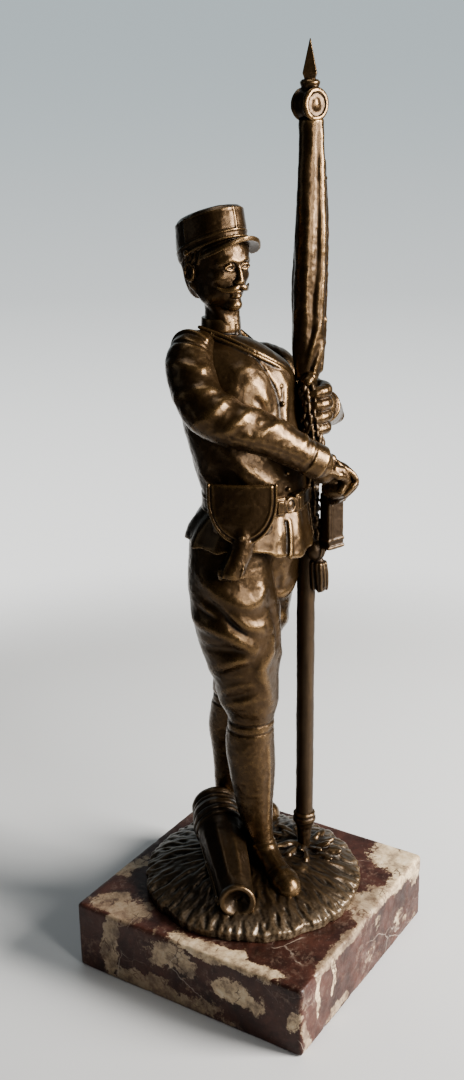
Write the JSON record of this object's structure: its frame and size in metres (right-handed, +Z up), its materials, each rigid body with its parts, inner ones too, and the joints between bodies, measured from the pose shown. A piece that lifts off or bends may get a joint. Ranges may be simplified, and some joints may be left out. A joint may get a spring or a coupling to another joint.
{
  "type": "figure trophy",
  "caption": "Bronze statuette of a standing standard-bearer with a furled flag, on a round grass mound screwed to a square marble plinth.",
  "frame": {"origin": "centre of the plinth's underside", "axes": "+Z up the figure, X and Y along the plinth's sides, the soldier faces about -Y"},
  "size_m": [0.12, 0.12, 0.4086],
  "materials": {
    "bronze": "brown patinated cast bronze, worn golden on the high places",
    "marble": "honed red marble with cream and grey veins",
    "steel": "plain turned steel, slightly dull"
  },
  "bodies": {
    "root": {"marble_plinth": "marble", "mound_casting": "bronze", "right_leg_casting": "bronze", "left_leg_casting": "bronze", "tunic_skirt": "bronze", "tunic_casting": "bronze", "right_arm_casting": "bronze", "left_arm_casting": "bronze", "head_casting": "bronze", "kepi": "bronze", "right_hand": "bronze", "left_hand": "bronze", "waist_belt": "bronze", "belt_buckle": "bronze", "holster": "bronze", "sabre_hilt": "bronze", "scabbard_locket": "bronze", "flag_staff": "bronze", "staff_ferrule": "bronze", "cartouche": "bronze", "spear_finial": "bronze", "furled_flag": "bronze", "flag_fringe": "bronze", "gun_barrel": "bronze", "rammer_rod": "bronze", "right_boot": "bronze", "left_boot": "bronze", "fixing_stud": "steel", "fixing_washer": "steel", "fixing_nut": "steel", "locating_pin": "steel", "foot_pins": "steel", "body_pins": "steel", "arm_pins": "steel", "neck_pin": "steel"}
  },
  "joints": []
}
